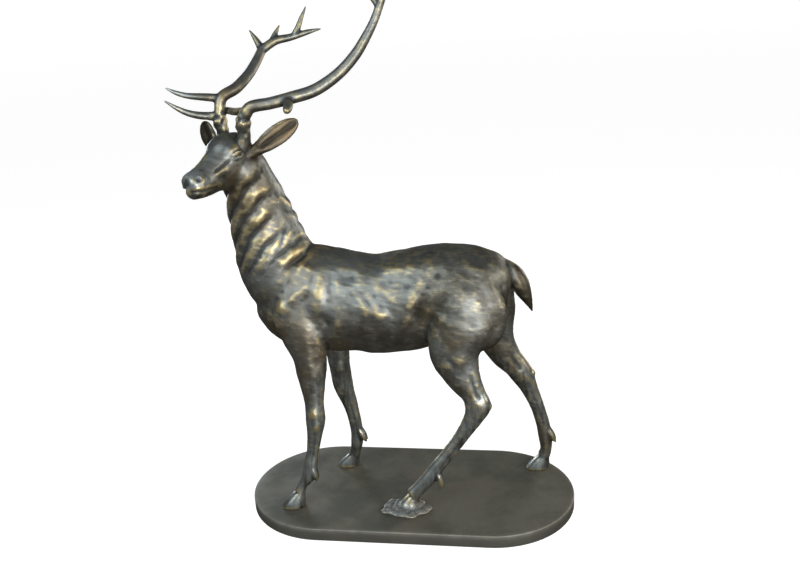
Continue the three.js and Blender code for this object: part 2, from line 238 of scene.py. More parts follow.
# Stag: one hollow bronze casting, modelled in wax by hand and poured in parts that are welded and
# chased into a single skin. Body, neck, head, ears, antlers, legs and tail are one surface. A row of
# a trunk or a limb gives a centre, half width and half depth, and on the neck a yaw, in millimetres.
MM = 0.001
TORSO = [
    [-440, 0, 776, 26, 40], [-416, 0, 770, 66, 90], [-374, 0, 746, 96, 140],
    [-318, 0, 720, 118, 166], [-240, 0, 706, 128, 170], [-150, 0, 698, 130, 159],
    [-60, 0, 690, 132, 158], [30, 0, 704, 128, 160], [110, 0, 729, 122, 149],
    [190, 0, 742, 118, 135], [250, 0, 741, 106, 120], [296, 0, 731, 82, 100],
    [326, 0, 722, 46, 66], [335, 0, 720, 12, 20]]
NECK = [
    [-318, 0, 700, 92, 104, 0], [-360, 0, 775, 108, 124, 4], [-388, -4, 850, 100, 121, 10],
    [-404, -10, 930, 88, 107, 16], [-418, -22, 1010, 78, 94, 25], [-431, -40, 1085, 70, 80, 37],
    [-441, -60, 1150, 62, 68, 48], [-446, -72, 1195, 40, 44, 55]]


def smooth_run(rows, count):
    """Catmull-Rom through rows of numbers, read at evenly spaced places from first to last."""
    rows = np.array(rows, float)
    last = len(rows) - 1
    f = np.linspace(0, last, count)
    i = np.minimum(f.astype(int), last - 1)
    u = (f - i)[:, None]
    a, b, c, d = np.moveaxis(rows[np.clip(i[:, None] + np.arange(-1, 3), 0, last)], 1, 0)
    m, n = (c - a) / 2, (d - b) / 2
    return ((2 * u**3 - 3 * u**2 + 1) * b + (u**3 - 2 * u**2 + u) * m
            + (3 * u**2 - 2 * u**3) * c + (u**3 - u**2) * n)


def unit(v):
    """Vectors brought to length one."""
    return v / np.maximum(np.linalg.norm(v, axis=-1, keepdims=True), 1e-12)


def oval_skin(rows, rings, sides, across=(0, 1, 0), relief=None, flat=False):
    """Carries an oval along a smooth path: each row gives centre, half width, half depth and the
    yaw of the width axis. Relief moves a point out along its section. Sections stand across the
    path, or lie flat when asked. Both ends are closed."""
    run = smooth_run(rows, rings)
    centre = run[:, :3] * MM
    tangent = np.tile([0.0, 0.0, -1.0], (rings, 1)) if flat else unit(np.gradient(centre, axis=0))
    yaw = np.radians(run[:, 5]) if run.shape[1] > 5 else np.zeros(rings)
    ax, ay, az = across
    wide = np.stack([ax * np.cos(yaw) - ay * np.sin(yaw), ax * np.sin(yaw) + ay * np.cos(yaw),
                     np.full(rings, float(az))], -1)
    wide = unit(wide - tangent * np.sum(wide * tangent, -1, keepdims=True))
    deep = np.cross(tangent, wide)
    angle = np.linspace(0, 2 * np.pi, sides, endpoint=False)
    half = np.maximum(run[:, 3:5], 0.8) * MM
    out = (wide[:, None] * np.cos(angle)[None, :, None] * half[:, None, :1]
           + deep[:, None] * np.sin(angle)[None, :, None] * half[:, None, 1:2])
    points = centre[:, None] + out
    if relief is not None:
        t = np.linspace(0, 1, rings)[:, None]
        points = points + unit(out) * relief(angle[None], t)[..., None] * MM
    points = np.concatenate([points.reshape(-1, 3), centre[:1], centre[-1:]])
    quads = grid_faces(rings, sides)
    j = np.arange(sides)
    k = (j + 1) % sides
    start, end, top = rings * sides, rings * sides + 1, (rings - 1) * sides
    faces = np.concatenate([
        quads[:, [0, 1, 2]], quads[:, [0, 2, 3]],
        np.stack([np.full(sides, start), k, j], -1),
        np.stack([np.full(sides, end), top + j, top + k], -1)])
    return points, faces


def limb(rows):
    """A round tine, beam or dewclaw: a circle carried through centres with a radius each."""
    rows = np.array(rows, float)
    chord = unit(rows[-1, :3] - rows[0, :3])
    lean = np.array([0, 1, 0]) if abs(chord[2]) > 0.8 else np.array([0, 0, 1])
    across = unit(np.cross(chord, lean))
    return oval_skin(np.column_stack([rows, rows[:, 3]]), 10 * len(rows), 20, across)


def ball(at, half, axes, rings=20, sides=28):
    """An ellipsoid: the unit sphere's circles scaled along three given axes."""
    polar = np.linspace(0.02, np.pi - 0.02, rings)
    turn = np.linspace(0, 2 * np.pi, sides, endpoint=False)
    s = np.stack([np.sin(polar)[:, None] * np.cos(turn), np.sin(polar)[:, None] * np.sin(turn),
                  np.cos(polar)[:, None] * np.ones_like(turn)], -1).reshape(-1, 3)
    points = np.array(at) + (s * np.array(half)) @ np.array(axes)
    poles = [points[:sides].mean(0)[None], points[-sides:].mean(0)[None]]
    points = np.concatenate([points, *poles]) * MM
    quads = grid_faces(rings, sides)[:, ::-1]
    j = np.arange(sides)
    k = (j + 1) % sides
    start, end, last = rings * sides, rings * sides + 1, (rings - 1) * sides
    return points, np.concatenate([
        quads[:, [0, 1, 2]], quads[:, [0, 2, 3]], np.stack([np.full(sides, start), j, k], -1),
        np.stack([np.full(sides, end), last + k, last + j], -1)])


# Head: turned to the stag's left and a little down, cast with the neck. Everything on it is placed in
# its own frame of forward, left and up. A row gives forward, up, half width and half depth.
HEAD_YAW, HEAD_PITCH = np.radians(62), np.radians(11)
HEAD_AT = np.array([-478.0, -91.0, 1173.0])
HEAD = [
    [-92, 0, 24, 30], [-70, -3, 54, 62], [-34, -12, 65, 80], [0, -19, 62, 81], [34, -25, 51, 69],
    [68, -30, 42, 57], [100, -33, 38, 48], [126, -34, 39, 46], [145, -35, 36, 42],
    [156, -36, 27, 32], [160, -36, 10, 13]]
EYE_AT, EYE_HALF = (2, 53, 13), (15, 8, 7)
level = np.array([-np.cos(HEAD_YAW), -np.sin(HEAD_YAW), 0])
to_left = np.array([-level[1], level[0], 0])
to_nose = level * np.cos(HEAD_PITCH) - np.array([0, 0, np.sin(HEAD_PITCH)])
to_crown = level * np.sin(HEAD_PITCH) + np.array([0, 0, np.cos(HEAD_PITCH)])
head_axes = np.stack([to_nose, to_left, to_crown])


def on_head(forward, left, up):
    """A place on the head: so far to the nose, to its left and to the crown."""
    return HEAD_AT + forward * to_nose + left * to_left + up * to_crown


EARS = [([-394, -86, 1186], [-264, -40, 1268], 29, [0.3, -0.9, 0.1]),
        ([-524, -50, 1192], [-570, -2, 1266], 28, [-0.35, -0.9, 0.1])]
EAR_STEPS = [[-0.24, 0.4, 9], [0, 0.58, 12], [0.18, 0.76, 14], [0.36, 0.97, 14],
             [0.6, 1.04, 12], [0.82, 0.84, 9], [0.95, 0.48, 6], [1, 0.12, 2]]
EAR_HOLLOW = 20


def ear_skin(base, tip, half, face):
    """A leaf: an oval carried from base to tip, its inner face pressed in to a hollow."""
    a, b, face = np.array(base, float), np.array(tip, float), np.array(face, float)
    rows = [[*(a + (b - a) * t), half * w, d] for t, w, d in EAR_STEPS]
    across = unit(np.cross(face, b - a))
    facing = np.sign(np.cross(unit(b - a), across) @ face)

    def hollow(angle, t):
        """Pressed in by the squared sine on the inner face, easing in from the base and out at the tip."""
        inner = np.clip(facing * np.sin(angle), 0, 1) ** 2
        rise = np.clip((t - 0.22) / 0.24, 0, 1) * (1 - np.clip((t - 0.8) / 0.2, 0, 1))
        return -EAR_HOLLOW * inner * rise

    return oval_skin(rows, 60, 48, across, hollow)


# Legs: the near and far fore leg, then the near and far hind leg, from shoulder or hip to pastern. Each
# ends in a cloven hoof with two dewclaws behind the fetlock, all cast in one with the body. The soles
# stand at the height GROUND, a hair over the plate.
LEGS = [
    [[-250, -64, 832, 28, 44], [-284, -80, 745, 42, 78], [-298, -89, 680, 46, 82],
     [-290, -96, 615, 46, 72], [-279, -99, 555, 43, 56], [-276, -102, 501, 37, 48],
     [-275, -106, 448, 31, 38], [-274, -110, 395, 27, 30], [-274, -114, 341, 27, 31],
     [-281, -118, 286, 20, 24], [-291, -121, 231, 17, 20], [-299, -125, 194, 19, 22],
     [-308, -128, 152, 20, 22], [-329, -131, 120, 15, 15], [-342, -134, 94, 17, 18]],
    [[-244, 64, 832, 28, 44], [-272, 80, 745, 42, 76], [-280, 89, 680, 46, 80],
     [-262, 95, 600, 44, 66], [-240, 93, 511, 38, 43], [-234, 95, 430, 31, 35],
     [-228, 99, 360, 27, 33], [-211, 105, 290, 20, 25], [-201, 110, 227, 18, 22],
     [-198, 115, 182, 18, 21], [-201, 119, 144, 19, 21], [-207, 123, 114, 17, 19],
     [-214, 127, 92, 18, 20]],
    [[224, -58, 830, 26, 58], [216, -79, 745, 46, 104], [208, -92, 668, 53, 120],
     [184, -98, 622, 51, 98], [173, -102, 590, 47, 85], [174, -105, 558, 43, 78],
     [182, -110, 530, 37, 68], [200, -114, 488, 31, 53], [226, -116, 440, 25, 38],
     [237, -118, 404, 25, 40], [222, -120, 362, 22, 29], [187, -122, 305, 18, 22],
     [153, -123, 254, 18, 21], [115, -124, 204, 18, 21], [77, -126, 152, 20, 23],
     [45, -128, 116, 18, 22], [27, -129, 94, 19, 25]],
    [[232, 58, 830, 26, 54], [238, 80, 735, 46, 96], [252, 93, 640, 52, 96],
     [274, 96, 560, 43, 68], [296, 99, 508, 36, 53], [318, 102, 470, 31, 46],
     [346, 107, 436, 27, 40], [366, 112, 402, 26, 38], [387, 117, 354, 22, 28],
     [410, 122, 294, 19, 23], [427, 128, 234, 18, 22], [438, 134, 172, 21, 23],
     [440, 142, 122, 18, 19], [433, 147, 94, 18, 21]]]
HOOVES = [(-365, -138, 14), (-240, 132, 14), (7, -131, 6), (412, 152, 10)]
DEWCLAWS = [([-299, -125, 205], [-281, -128, 133]), ([-198, 113, 212], [-165, 115, 147]),
            ([104, -125, 190], [122, -126, 127]), ([434, 131, 222], [473, 134, 153])]
DEWCLAW_STEPS, DEWCLAW_SPREAD = [[0, 5], [0.4, 10], [0.75, 9], [1, 2.5]], 8
HOCKS, HOCK_HALF = [(264, -118, 404), (391, 112, 409)], (17, 14, 20)
HOOF_STEPS = [[0, 0, 0.62, 0.46], [0.34, 0.42, 0.8, 0.68], [0.72, 0.78, 0.95, 0.9], [1, 1, 1, 1]]
HOOF_HALF, GROUND = (27, 40), 42.3


def hoof_parts(ankle, hoof, dewclaw):
    """A hoof is an oval that flares from the pastern to the sole and leans towards the toe, and each
    of the two dewclaws is a thorn that swells out behind the fetlock and points down."""
    ankle, sole = np.array(ankle[:3], float), np.array([hoof[0], hoof[1], GROUND])
    rows = [[*(ankle + (sole - ankle) * [lean, lean, down]), wide * HOOF_HALF[0],
             long * HOOF_HALF[1], hoof[2]] for down, lean, wide, long in HOOF_STEPS]
    hoof_and_claws = [oval_skin(rows, 28, 44, flat=True)]
    root, tip = np.array(dewclaw, float)
    for side in (-1, 1):
        apart = np.array([0, DEWCLAW_SPREAD * side, 0])
        claw = [[*(root + (tip - root) * t + apart), r] for t, r in DEWCLAW_STEPS]
        hoof_and_claws.append(limb(claw))
    return hoof_and_claws


# Antlers: burr, beam, forward tines and a forked crown each side, cast solid and run onto the head.
# A row gives a centre and a radius. The tail is a short leaf that hangs over the rump.
RIGHT_ANTLER = [
    [[-496, -41, 1197, 22], [-494, -43, 1241, 18], [-496, -47, 1263, 21], [-493, -52, 1289, 17],
     [-485, -45, 1339, 17], [-451, -8, 1362, 17], [-428, 45, 1393, 16], [-414, 90, 1426, 15],
     [-402, 125, 1460, 14]],
    [[-496, -52, 1290, 13], [-534, -66, 1292, 12], [-569, -88, 1303, 10], [-596, -106, 1320, 7.5],
     [-628, -122, 1346, 2.5]],
    [[-483, -45, 1338, 13], [-530, -58, 1345, 11.5], [-574, -74, 1352, 9], [-604, -86, 1363, 7],
     [-632, -94, 1379, 2.5]],
    [[-401, 123, 1456, 13], [-421, 135, 1487, 9], [-442, 142, 1517, 2.5]],
    [[-402, 123, 1458, 14], [-365, 145, 1481, 13], [-320, 165, 1489, 11], [-270, 180, 1501, 8],
     [-231, 190, 1508, 2.5]],
    [[-377, 140, 1474, 11], [-365, 152, 1501, 8], [-351, 160, 1526, 2.5]],
    [[-314, 166, 1488, 10], [-298, 175, 1517, 9], [-288, 182, 1542, 7], [-272, 190, 1576, 2.5]]]
LEFT_ANTLER = [
    [[-438, -80, 1165, 26], [-421, -86, 1203, 22], [-412, -95, 1246, 20], [-410, -100, 1267, 23],
     [-404, -102, 1289, 19], [-380, -103, 1317, 18], [-326, -95, 1325, 17.5], [-270, -82, 1336, 18],
     [-202, -58, 1353, 18], [-138, -33, 1392, 17], [-89, -12, 1441, 16], [-54, 2, 1493, 14],
     [-30, 12, 1537, 12.5], [-11, 20, 1584, 12], [8, 26, 1631, 11]],
    [[-381, -102, 1312, 13], [-431, -70, 1302, 11.5], [-485, -20, 1301, 10], [-533, 22, 1309, 3]],
    [[-276, -84, 1331, 15], [-269, -112, 1318, 14], [-267, -134, 1310, 12], [-265, -146, 1306, 6]],
    [[-17, 18, 1567, 11], [-41, 20, 1602, 9], [-64, 20, 1640, 2.5]],
    [[4, 25, 1619, 11], [-8, 32, 1664, 8], [-9, 36, 1705, 2.5]],
    [[4, 26, 1622, 11], [39, 34, 1656, 9], [68, 40, 1701, 2.5]]]
TAIL = [[306, 0, 806, 20, 30], [336, 0, 790, 26, 31], [356, 0, 770, 29, 28],
        [374, 0, 733, 26, 23], [389, 0, 698, 17, 14], [401, 0, 664, 3, 3]]

# Weld: a low ragged run of weld metal round the near hind hoof, where it is fixed to the plate.
WELD_AT, WELD_HALF, WELD_FOOT = (2.0, -132.0), (78, 52, 14), 44


def weld_mound(rings=14, sides=72):
    """A low ragged mound: an ellipsoid whose plan is scalloped by two sine waves, cut at the plate."""
    polar = np.linspace(0.01, np.pi / 2, rings)
    turn = np.linspace(0, 2 * np.pi, sides, endpoint=False)
    lumpy = 1 + 0.07 * np.sin(5 * turn + 2) + 0.05 * np.sin(9 * turn)
    s = np.sin(polar)[:, None]
    top = np.stack([WELD_AT[0] + WELD_HALF[0] * s * np.cos(turn) * lumpy,
                    WELD_AT[1] + WELD_HALF[1] * s * np.sin(turn) * lumpy,
                    WELD_FOOT + WELD_HALF[2] * np.cos(polar)[:, None] * np.ones_like(turn)], -1)
    foot = top[-1:] * [1, 1, 0] + [0, 0, GROUND]
    centre = np.tile([[[*WELD_AT, GROUND]]], (1, sides, 1))
    points = np.concatenate([top, foot, centre]).reshape(-1, 3) * MM
    quads = grid_faces(rings + 2, sides)[:, ::-1]
    return points, np.concatenate([quads[:, [0, 1, 2]], quads[:, [0, 2, 3]]])


# The parts are run together into one skin, as the caster welds and chases them.
VOXEL, FINISHED_TRIANGLES = 0.0026, 192000
parts = [oval_skin(TORSO, 120, 96), oval_skin(NECK, 110, 96),
         oval_skin([[*on_head(f, 0, u), w, d] for f, u, w, d in HEAD], 90, 72, to_left),
         oval_skin(TAIL, 60, 48), weld_mound()]
parts += [ear_skin(*ear) for ear in EARS]
parts += [limb(rows) for rows in RIGHT_ANTLER + LEFT_ANTLER]
for side in (-1, 1):
    parts.append(ball(on_head(EYE_AT[0], side * EYE_AT[1], EYE_AT[2]), EYE_HALF, head_axes))
for rows, hoof, dewclaw in zip(LEGS, HOOVES, DEWCLAWS):
    parts.append(oval_skin(rows, 8 * len(rows), 48))
    parts += hoof_parts(rows[-1], hoof, dewclaw)
parts += [ball(at, HOCK_HALF, np.eye(3)) for at in HOCKS]
offsets = np.cumsum([0] + [len(p) for p, _ in parts])
skin = mesh_object("stag_rough", np.concatenate([p for p, _ in parts]),
                   np.concatenate([f + o for (_, f), o in zip(parts, offsets)]))
remesh = skin.modifiers.new("join", "REMESH")
remesh.mode, remesh.voxel_size, remesh.adaptivity = "VOXEL", VOXEL, 0.0
joined = bpy.data.meshes.new_from_object(skin.evaluated_get(bpy.context.evaluated_depsgraph_get()))
bpy.data.objects.remove(skin)
points = np.empty(len(joined.vertices) * 3)
joined.vertices.foreach_get("co", points)
points = points.reshape(-1, 3)
edges = np.empty(len(joined.edges) * 2, np.int32)
joined.edges.foreach_get("vertices", edges)
edges = edges.reshape(-1, 2)
degree = np.bincount(edges.ravel(), minlength=len(points)).astype(float)


def around(values):
    """The mean of each vertex's neighbours, for one number or three on each vertex."""
    flat = values.reshape(len(values), -1)
    total = [np.bincount(edges[:, 0], flat[edges[:, 1], c], len(values))
             + np.bincount(edges[:, 1], flat[edges[:, 0], c], len(values))
             for c in range(flat.shape[1])]
    return (np.stack(total, -1) / degree[:, None]).reshape(values.shape)


def ramp(values, low, high):
    """A smooth step from 0 at low to 1 at high."""
    t = np.clip((values - low) / (high - low), 0, 1)
    return t * t * (3 - 2 * t)


def blend_joins(p):
    """Smooths by neighbour means: many rounds where limbs flow into the trunk, few elsewhere."""
    over_legs = ramp(p[:, 2], 0.43, 0.54)
    trunk = over_legs * (1 - ramp(p[:, 2], 1.10, 1.17)) * (1 - ramp(p[:, 0], 0.31, 0.34))
    lower = (1 - over_legs) * ramp(p[:, 2], 0.05, 0.08)
    for step in range(46):
        weight = 0.6 * trunk + (0.5 * lower if step < 4 else 0) + (0.35 if step < 3 else 0)
        p = p + np.clip(weight, 0, 0.6)[:, None] * (around(p) - p)
    return p


points = blend_joins(points)


def outward(p):
    """Unit vertex normals of the joined skin."""
    joined.vertices.foreach_set("co", np.ascontiguousarray(p, np.float32).ravel())
    joined.update()
    n = np.empty(len(p) * 3, np.float32)
    joined.vertex_normals.foreach_get("vector", n)
    return n.reshape(-1, 3).astype(float)


NECK_FROM = 850


def other_flank(path):
    """A carved line of the left flank reflected in the body's middle plane, which turns with the
    neck as the sections of the neck do."""
    path = np.array(path, float)
    rows = np.array(NECK, float)
    on_neck = path[:, 2:] > NECK_FROM
    yaw = np.radians(np.interp(path[:, 2], rows[2:, 2], rows[2:, 5]) * on_neck[:, 0])
    across = np.stack([-np.sin(yaw), np.cos(yaw), np.zeros(len(path))], -1)
    neck_line = [np.interp(path[:, 2], rows[:, 2], rows[:, k]) for k in range(2)]
    middle = np.where(on_neck, np.stack([*neck_line, path[:, 2]], -1), path * [1, 0, 1])
    return path - 2 * np.sum((path - middle) * across, -1, keepdims=True) * across


def carve(p, path, half, height):
    """A ridge or groove along a line of points: the height falls off with distance to the line as
    a bell of the given half width, and fades at both ends."""
    path = np.array(path, float) * MM
    half = half * MM
    depth = np.zeros(len(p))
    close = np.where(np.all((p > path.min(0) - 3 * half) & (p < path.max(0) + 3 * half), axis=1))[0]
    if len(path) == 1:
        d = np.linalg.norm(p[close] - path[0], axis=1)
        depth[close] = height * MM * np.exp(-(d / half) ** 2)
        return depth
    a, run = path[:-1], path[1:] - path[:-1]
    rel = p[close][:, None] - a[None]
    t = np.clip(np.sum(rel * run[None], -1) / np.sum(run * run, -1)[None], 0, 1)
    d = np.linalg.norm(rel - t[..., None] * run[None], axis=-1)
    best = np.argmin(d, axis=1)
    pick = (np.arange(len(close)), best)
    along = (best + t[pick]) / len(a)
    fade = ramp(np.minimum(along, 1 - along), -0.04, 0.34)
    depth[close] = height * MM * fade * np.exp(-(d[pick] / half) ** 2)
    return depth


def softened(values, rounds):
    """A value on each vertex spread over its neighbours, a little further with each round."""
    for _ in range(rounds):
        values = around(values)
    return values


FOLD_RISE, FOLD_START, FOLD_PITCH, LESSER_PITCH = np.radians(48), 947, 47, 21


def mane_folds(p):
    """Slanting folds round the neck: a cosine across the line that rises backwards at 48 degrees,
    with narrow grooves and broad crests, strongest on the sides and gone at head and chest."""
    m = p / MM
    run = m[:, 2] * np.cos(FOLD_RISE) - (m[:, 0] + 0.5 * np.abs(m[:, 1])) * np.sin(FOLD_RISE)
    run = run + 13 * lattice_noise(p, 0.085, 21) + 4 * lattice_noise(p, 0.03, 22)
    wave = np.cos((run - FOLD_START) / FOLD_PITCH * 2 * np.pi)
    groove = np.clip(wave, 0, 1) ** 3
    shown = ramp(m[:, 2], 790, 880) * (1 - ramp(m[:, 2] + 0.35 * m[:, 0], 905, 985))
    shown = shown * (1 - ramp(m[:, 0], -285, -255)) * (m[:, 2] < 1200)
    strength = np.clip(0.8 + 0.7 * lattice_noise(p, 0.06, 5), 0.15, 1.4)
    lesser = np.cos((run + 8 * lattice_noise(p, 0.05, 23)) / LESSER_PITCH * 2 * np.pi)
    return shown * strength * (-2.6 * wave - 3.2 * groove + 0.7 * lesser) * MM


# The carved lines of the left flank, each with its half width and its height; grooves are negative.
FLANK_LINES = [
    ([[-470, -86, 976], [-423, -107, 1005], [-390, -101, 1036], [-371, -87, 1056]], 9, -3.7),
    ([[-406, -94, 998], [-379, -83, 1022]], 6, -2.5),
    ([[-452, -96, 913], [-413, -102, 942], [-381, -95, 974], [-358, -80, 1000]], 9, -3.7),
    ([[-378, -100, 867], [-340, -80, 901], [-332, -70, 930], [-321, -48, 967]], 8, -4.3),
    ([[-328, -80, 898], [-310, -48, 923], [-297, -19, 937]], 8, -3.1),
    ([[-406, -102, 773], [-360, -103, 824], [-333, -89, 851]], 23, -3.1),
    ([[-425, -98, 954], [-386, -92, 994], [-369, -77, 1024]], 18, 2.5),
    ([[-464, -81, 855], [-405, -103, 899], [-367, -95, 925]], 18, 3.1),
    ([[-344, -120, 722]], 20, 6.8), ([[-364, -110, 672]], 29, 5),
    ([[-330, -121, 728], [-291, -117, 759], [-250, -109, 791]], 12, 4),
    ([[-318, -124, 712], [-281, -122, 742], [-242, -116, 772]], 20, -2),
    ([[-219, -72, 846], [-222, -111, 788], [-235, -128, 702]], 25, 5.5),
    ([[-196, -85, 827], [-199, -115, 774], [-207, -129, 709]], 22, -4),
    ([[-51, -74, 819], [17, -82, 825], [101, -84, 834]], 22, 4.3),
    ([[-50, -98, 792], [18, -104, 790], [78, -108, 772]], 31, -6.8),
    ([[110, -86, 832]], 34, 5), ([[130, -98, 812]], 17, -3.7),
    ([[122, -100, 806], [83, -114, 761], [66, -118, 697], [64, -107, 625]], 17, -6.2),
    ([[99, -106, 795], [59, -115, 746], [43, -122, 707]], 27, 4.5),
    ([[-116, -110, 782], [-72, -126, 728], [-60, -130, 690]], 10, -2.5),
    ([[-83, -109, 781], [-42, -125, 733], [-30, -130, 694]], 10, -3.1),
    ([[-51, -109, 775], [-18, -126, 727], [-8, -130, 692]], 10, -3.1),
    ([[-150, -110, 782], [-104, -126, 728], [-92, -130, 690]], 10, -1.9),
    ([[190, -116, 755]], 62, 5), ([[224, -95, 813], [276, -115, 743], [269, -135, 651]], 23, -3.7),
    ([[111, -124, 623], [146, -139, 645]], 5, -1.6), ([[-208, -128, 690]], 29, -5),
    ([[-288, -135, 660]], 36, 3.7), ([[-250, -140, 640], [-246, -140, 560], [-250, -136, 500]], 13, -3.1),
    ([[163, -144, 612], [196, -144, 533], [217, -142, 461]], 16, -2.5),
    ([[-131, -125, 746], [-87, -127, 715], [-45, -131, 701], [6, -127, 715]], 17, 4),
    ([[-178, -99, 803], [-140, -92, 808], [-104, -92, 806]], 26, -4),
    ([[-182, -85, 824], [-136, -76, 824], [-95, -76, 820]], 20, 3),
    ([[77, -116, 743], [56, -120, 666], [10, -114, 621]], 16, -4),
    ([[300, -108, 738], [300, -118, 666], [279, -129, 607]], 22, -5),
    ([[138, -140, 576], [167, -145, 559], [183, -145, 507]], 11, -4),
    ([[182, -147, 560]], 22, 4), ([[-205, -128, 690], [-201, -114, 629]], 14, -5),
    ([[-277, -138, 371]], 14, 3), ([[-268, -138, 326]], 12, 3)]
trunk = ramp(points[:, 2], 0.42, 0.56) * (1 - ramp(points[:, 2], 1.05, 1.15))
relief = mane_folds(points) + trunk * MM * (
    3.0 * lattice_noise(points, 0.095, 11) + 1.8 * lattice_noise(points, 0.045, 12))
for path, half, height in FLANK_LINES:
    relief += carve(points, path, half, height)
    relief += carve(points, other_flank(path), half, height)
points = points + outward(points) * softened(relief, 8)[:, None]


def laid_on(p, path):
    """A line divided evenly, with each of its points moved to the nearest point of the skin."""
    path = np.array(path, float)
    at = np.linspace(0, len(path) - 1, 4 * len(path) - 3)
    line = np.stack([np.interp(at, np.arange(len(path)), path[:, k]) for k in range(3)], -1)
    gap = np.linalg.norm(p[None] / MM - line[:, None], axis=-1)
    return p[np.argmin(gap, axis=1)] / MM


# Head carving, left and right: broad forms of brow, cheek, jaw, nose bridge and muzzle, then the finer
# lines of lids, tear groove, nostril and lips. Each has its half width and its height.
HEAD_FORMS = [
    ([[4, 52, 32]], 24, 7), ([[36, 44, 18], [16, 50, 29], [-4, 54, 33], [-22, 60, 28]], 9, 3),
    ([[26, 52, -8], [60, 42, -14], [96, 36, -20]], 9, 3.5), ([[44, 50, -30], [84, 40, -34]], 13, -1.8),
    ([[-4, 64, -46]], 38, 3), ([[-62, 62, -26], [-52, 62, -60], [-20, 50, -90], [14, 34, -98]], 14, -5),
    ([[130, 33, -10]], 16, 3.5), ([[74, 40, -52]], 14, 3.5),
    ([[-30, 24, 62], [10, 22, 56], [50, 16, 38]], 12, 3),
    ([[40, 0, 44], [90, 0, 15], [130, 0, 10]], 11, 2.5), ([[163, 0, -38]], 10, 3)]
HEAD_LINES = [
    ([[24, 50, 8], [12, 53, 18], [0, 56, 20], [-11, 58, 17], [-19, 60, 10]], 4, 3.2),
    ([[26, 50, 14], [10, 54, 25], [-4, 57, 26], [-20, 60, 18]], 4, -1.6),
    ([[23, 51, 8], [8, 57, 6], [-6, 60, 6], [-18, 61, 10]], 3.6, 2.0),
    ([[21, 53, 10], [2, 58, 13], [-16, 60, 11]], 2.8, -1.8),
    ([[22, 51, 8], [36, 46, 4], [54, 42, -1], [74, 38, -7], [94, 37, -12]], 4.5, -3),
    ([[138, 34, -8]], 6.5, -6.5),
    ([[162, 0, -37], [156, 18, -38], [146, 30, -41], [124, 37, -48], [97, 38, -54], [72, 40, -58]],
     3.2, -4.5),
    ([[159, 14, -29], [149, 30, -32], [124, 38, -39], [97, 40, -45]], 6, 2.2),
    ([[158, 12, -47], [147, 27, -50], [124, 35, -57], [97, 36, -63]], 6, 3)]
BURRS, BURR_HALF = ([-494, -54, 1262], [-410, -101, 1264]), [36, 36, 34]


def on_both_cheeks(p, lines):
    """The sum of carved lines given in the head's frame, laid on the skin left and right."""
    total, near = np.zeros(len(p)), p[p[:, 2] > 1.02]
    for path, half, height in lines:
        for side in (1, -1):
            line = laid_on(near, [on_head(f, side * l, u) for f, l, u in path])
            total += carve(p, line, half, height)
    return total


def bell(p, at, radius):
    """1 at a place given in millimetres, falling off round it as a bell of the given radius."""
    return np.exp(-(np.linalg.norm((p / MM - at) / radius, axis=1) ** 2))


relief = softened(on_both_cheeks(points, HEAD_FORMS), 6) + on_both_cheeks(points, HEAD_LINES)
burrs = sum(bell(points, at, BURR_HALF) for at in BURRS)
relief += burrs * 6.5 * MM * lattice_noise(points, 0.013, 31)

# Leg and tail carving: a tendon groove down each side of the cannon, the cleft of each hoof, a groove
# along the tail, and the hollow on each side of the hamstring, as a side view and the leg's middle.
TAIL_GROOVE = [[338, -22, 764], [358, -22, 726], [384, -14, 694]]
HAMSTRINGS = [([[250, 425], [247, 445], [236, 488], [226, 535]], -118),
              ([[374, 424], [362, 448], [345, 475], [328, 512]], 106)]
for rows, (x, y, heading) in zip(LEGS, HOOVES):
    cannon = np.array(rows[-7:-2], float)
    for side in (-1, 1):
        beside = np.stack([0.25 * cannon[:, 4], side * cannon[:, 3], 0 * cannon[:, 3]], -1)
        relief += carve(points, cannon[:, :3] + beside, 7, -1.8)
    front = np.array([-np.cos(np.radians(heading)), -np.sin(np.radians(heading)), 0])
    toe = np.array([x, y, GROUND])
    cleft = [toe + front * 16 + [0, 0, 40], toe + front * 30 + [0, 0, 20], toe + front * 42]
    relief += carve(points, cleft, 5, -2.5)
relief += carve(points, TAIL_GROOVE, 5, -4)
gaskins = points[(points[:, 0] > 0.15) & (points[:, 2] > 0.38) & (points[:, 2] < 0.58)]
for path, leg_middle in HAMSTRINGS:
    for beside in (-50, 50):
        line = laid_on(gaskins, [[x, leg_middle + beside, z] for x, z in path])
        relief += carve(points, line, 10, -3.2)

# Surface of the wax: soft thumb marks all over, combed hair on trunk and neck, slag on the weld.
m = points / MM
x, y, z = points.T
hide = ramp(m[:, 2], 150, 260) * (1 - ramp(m[:, 2], 1180, 1230))
combed = np.stack([0.35 * (x - 0.6 * z), y, z + 0.35 * x], -1)
relief += hide * MM * (0.9 * lattice_noise(points, 0.034, 1) + 0.55 * lattice_noise(combed, 0.0085, 2))
off_weld = ((m[:, 0] - WELD_AT[0]) / 95) ** 2 + ((m[:, 1] - WELD_AT[1]) / 62) ** 2
slag = np.exp(-off_weld ** 2) * (1 - ramp(m[:, 2], 58, 72))
relief += slag * ramp(m[:, 2], 43, 47) * MM * (
    3.0 * lattice_noise(points, 0.013, 41) + 5.0 * np.abs(lattice_noise(points, 0.024, 42)))
points = points + outward(points) * relief[:, None]
points[:, 2] = np.maximum(points[:, 2], GROUND * MM)

# Where hands and cloths rub, and where the colour is darker in the hollows: the skin's own curvature at
# two scales, less its mean over the limb around, so that a thin limb isn't all crest.
normal = outward(points)
soft = softened(points, 5)
fine = softened(np.sum((points - soft) * normal, -1), 2)
broad = softened(np.sum((points - softened(soft, 30)) * normal, -1), 4)
fine, broad = fine - softened(fine, 50), broad - softened(broad, 90)
along, tall = m[:, 0], m[:, 2]
trunk = ramp(tall, 420, 560) * (1 - ramp(tall, 1180, 1240))
crest = 0.5 * fine / np.std(fine[trunk > 0.9]) + 0.8 * broad / np.std(broad[trunk > 0.9])
